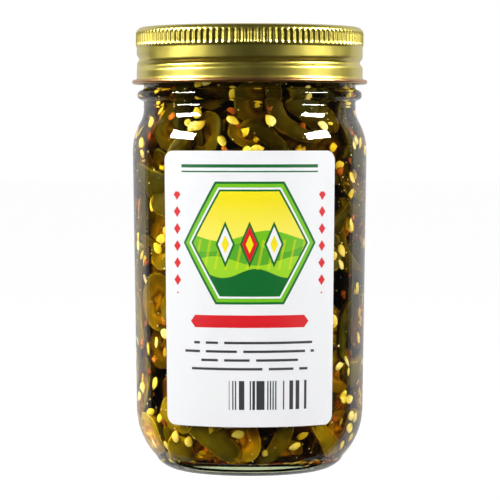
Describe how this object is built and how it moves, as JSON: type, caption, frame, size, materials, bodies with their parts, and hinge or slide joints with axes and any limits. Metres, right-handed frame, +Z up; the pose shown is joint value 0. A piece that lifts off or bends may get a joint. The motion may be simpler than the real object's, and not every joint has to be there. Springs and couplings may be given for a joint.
{
  "type": "jar of candied jalapenos",
  "caption": "Glass screw-top preserving jar filled with sliced candied green chillies in amber syrup, gold lid and a wrapped paper label.",
  "frame": {"origin": "on the jar's axis, in the plane it stands on", "axes": "+Z up along the jar's axis, -Y out of the middle of the label"},
  "size_m": [0.0738, 0.0738, 0.1388],
  "materials": {
    "glass": "clear, faint green",
    "gold_tinplate": "satin gold lacquer",
    "label_paper": "semi-gloss print",
    "preserve": "wet, in clear syrup"
  },
  "bodies": {
    "root": {"jar": "glass", "lid": "gold_tinplate", "label": "label_paper", "preserve": "preserve"}
  },
  "joints": []
}
